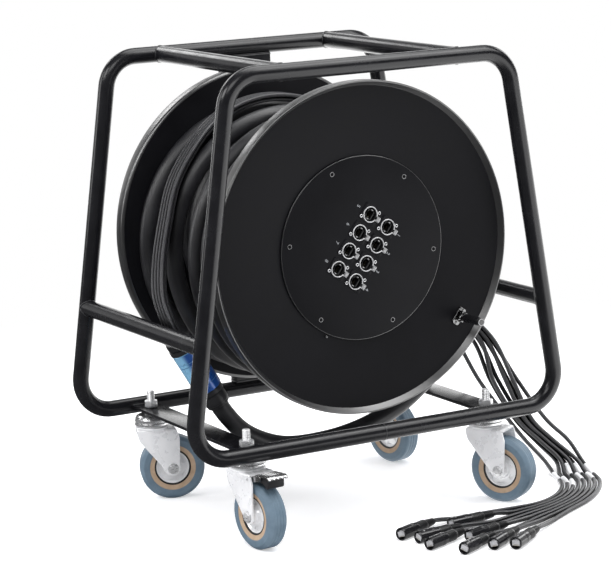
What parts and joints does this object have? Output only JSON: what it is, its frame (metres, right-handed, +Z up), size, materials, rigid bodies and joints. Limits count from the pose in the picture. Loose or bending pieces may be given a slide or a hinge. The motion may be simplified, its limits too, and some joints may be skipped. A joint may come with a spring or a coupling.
{
  "type": "network snake cable",
  "caption": "Thick network snake cable wound on a cantilevered drum in a wheeled tube stand, with a socket panel, a folding crank and a breakout of thin tails with plugs.",
  "frame": {"origin": "on the floor under the middle of the stand", "axes": "+Z up; +X along the front loop; -Y is the front, the side of the socket panel and the crank"},
  "size_m": [0.7408, 0.6234, 0.6975],
  "materials": {
    "frame_paint": "satin black powder coat",
    "flange_black": "fine grained black",
    "panel_black": "black panel with nickel sockets",
    "turned_steel": "turned",
    "bright_zinc": "bright zinc plate",
    "grey_tyre": "grey-blue tread on a tan and zinc centre",
    "socket_nickel": "satin nickel",
    "snake_jacket": "satin black jacket",
    "tail_jacket": "ribbed dark grey jacket",
    "blue_anodised": "blue anodised",
    "gland_black": "moulded",
    "grip_black": "moulded",
    "plug_shell": "black plated shell"
  },
  "bodies": {
    "stand": {"front_loop": "frame_paint", "rear_loop": "frame_paint", "top_tube_left": "frame_paint", "top_tube_right": "frame_paint", "mid_tube_left": "frame_paint", "mid_tube_right": "frame_paint", "caster_bar_left": "frame_paint", "caster_bar_right": "frame_paint", "axle_post": "frame_paint", "caster_stem_front_left": "bright_zinc", "caster_stem_front_right": "bright_zinc", "caster_stem_rear_left": "bright_zinc", "caster_stem_rear_right": "bright_zinc", "snake_coil": "snake_jacket", "snake_slack": "snake_jacket", "breakout_tube": "blue_anodised", "breakout_gland_upper": "gland_black", "breakout_gland_lower": "gland_black", "tail_1": "tail_jacket", "tail_2": "tail_jacket", "tail_3": "tail_jacket", "tail_4": "tail_jacket", "tail_5": "tail_jacket", "tail_6": "tail_jacket", "tail_7": "tail_jacket", "tail_8": "tail_jacket", "plug_1": "plug_shell", "plug_2": "plug_shell", "plug_3": "plug_shell", "plug_4": "plug_shell", "plug_5": "plug_shell", "plug_6": "plug_shell", "plug_7": "plug_shell", "plug_8": "plug_shell"},
    "drum": {"front_flange": "flange_black", "rear_flange": "flange_black", "drum_core": "flange_black", "hub_bearing": "turned_steel", "snake_pack": "snake_jacket", "socket_panel": "panel_black", "crank_base": "turned_steel"},
    "crank_arm": {"crank_arm": "turned_steel"},
    "crank_sleeve": {"crank_sleeve": "grip_black"},
    "latch_1": {"socket_latch_1": "socket_nickel"},
    "latch_2": {"socket_latch_2": "socket_nickel"},
    "latch_3": {"socket_latch_3": "socket_nickel"},
    "latch_4": {"socket_latch_4": "socket_nickel"},
    "latch_5": {"socket_latch_5": "socket_nickel"},
    "latch_6": {"socket_latch_6": "socket_nickel"},
    "latch_7": {"socket_latch_7": "socket_nickel"},
    "latch_8": {"socket_latch_8": "socket_nickel"},
    "fork_front_left": {"caster_fork_front_left": "bright_zinc"},
    "wheel_front_left": {"caster_wheel_front_left": "grey_tyre"},
    "fork_front_right": {"caster_fork_front_right": "bright_zinc"},
    "wheel_front_right": {"caster_wheel_front_right": "grey_tyre"},
    "fork_rear_left": {"caster_fork_rear_left": "bright_zinc"},
    "wheel_rear_left": {"caster_wheel_rear_left": "grey_tyre"},
    "fork_rear_right": {"caster_fork_rear_right": "bright_zinc"},
    "wheel_rear_right": {"caster_wheel_rear_right": "grey_tyre"},
    "brake": {"brake_pedal": "bright_zinc"}
  },
  "joints": [
    {"name": "drum_spin", "type": "hinge", "parent": "stand", "child": "drum", "pos_m": [0, 0.01542, 0.412], "axis": [0, 1, 0], "continuous": true},
    {"name": "crank_fold", "type": "hinge", "parent": "drum", "child": "crank_arm", "pos_m": [0.1645, -0.14488, 0.289], "axis": [-0.5988, 0, -0.8009], "range_deg": [0, 90]},
    {"name": "sleeve_spin", "type": "hinge", "parent": "crank_arm", "child": "crank_sleeve", "pos_m": [0.1645, -0.17458, 0.289], "axis": [0, -1, 0], "continuous": true},
    {"name": "latch_1_press", "type": "slide", "parent": "drum", "child": "latch_1", "axis": [0, 1, 0], "range_m": [0, 0.0015], "stiffness_N_per_m": 600, "springref_m": -0.0005},
    {"name": "latch_2_press", "type": "slide", "parent": "drum", "child": "latch_2", "axis": [0, 1, 0], "range_m": [0, 0.0015], "stiffness_N_per_m": 600, "springref_m": -0.0005},
    {"name": "latch_3_press", "type": "slide", "parent": "drum", "child": "latch_3", "axis": [0, 1, 0], "range_m": [0, 0.0015], "stiffness_N_per_m": 600, "springref_m": -0.0005},
    {"name": "latch_4_press", "type": "slide", "parent": "drum", "child": "latch_4", "axis": [0, 1, 0], "range_m": [0, 0.0015], "stiffness_N_per_m": 600, "springref_m": -0.0005},
    {"name": "latch_5_press", "type": "slide", "parent": "drum", "child": "latch_5", "axis": [0, 1, 0], "range_m": [0, 0.0015], "stiffness_N_per_m": 600, "springref_m": -0.0005},
    {"name": "latch_6_press", "type": "slide", "parent": "drum", "child": "latch_6", "axis": [0, 1, 0], "range_m": [0, 0.0015], "stiffness_N_per_m": 600, "springref_m": -0.0005},
    {"name": "latch_7_press", "type": "slide", "parent": "drum", "child": "latch_7", "axis": [0, 1, 0], "range_m": [0, 0.0015], "stiffness_N_per_m": 600, "springref_m": -0.0005},
    {"name": "latch_8_press", "type": "slide", "parent": "drum", "child": "latch_8", "axis": [0, 1, 0], "range_m": [0, 0.0015], "stiffness_N_per_m": 600, "springref_m": -0.0005},
    {"name": "swivel_front_left", "type": "hinge", "parent": "stand", "child": "fork_front_left", "pos_m": [-0.2065, -0.14058, 0.126], "axis": [0, 0, 1], "continuous": true},
    {"name": "wheel_spin_front_left", "type": "hinge", "parent": "fork_front_left", "child": "wheel_front_left", "pos_m": [-0.20357, -0.16842, 0.05], "axis": [0.9945, 0.1045, 0], "continuous": true},
    {"name": "swivel_front_right", "type": "hinge", "parent": "stand", "child": "fork_front_right", "pos_m": [0.2065, -0.14058, 0.126], "axis": [0, 0, 1], "continuous": true},
    {"name": "wheel_spin_front_right", "type": "hinge", "parent": "fork_front_right", "child": "wheel_front_right", "pos_m": [0.2205, -0.16483, 0.05], "axis": [0.866, 0.5, 0], "continuous": true},
    {"name": "swivel_rear_left", "type": "hinge", "parent": "stand", "child": "fork_rear_left", "pos_m": [-0.2065, 0.17142, 0.126], "axis": [0, 0, 1], "continuous": true},
    {"name": "wheel_spin_rear_left", "type": "hinge", "parent": "fork_rear_left", "child": "wheel_rear_left", "pos_m": [-0.18036, 0.16139, 0.05], "axis": [0.3584, 0.9336, 0], "continuous": true},
    {"name": "swivel_rear_right", "type": "hinge", "parent": "stand", "child": "fork_rear_right", "pos_m": [0.2065, 0.17142, 0.126], "axis": [0, 0, 1], "continuous": true},
    {"name": "wheel_spin_rear_right", "type": "hinge", "parent": "fork_rear_right", "child": "wheel_rear_right", "pos_m": [0.21136, 0.14385, 0.05], "axis": [0.9848, 0.1736, 0], "continuous": true},
    {"name": "brake_press", "type": "hinge", "parent": "fork_front_left", "child": "brake", "pos_m": [-0.20336, -0.17041, 0.106], "axis": [0.9945, 0.1045, 0], "range_deg": [0, 8]}
  ]
}
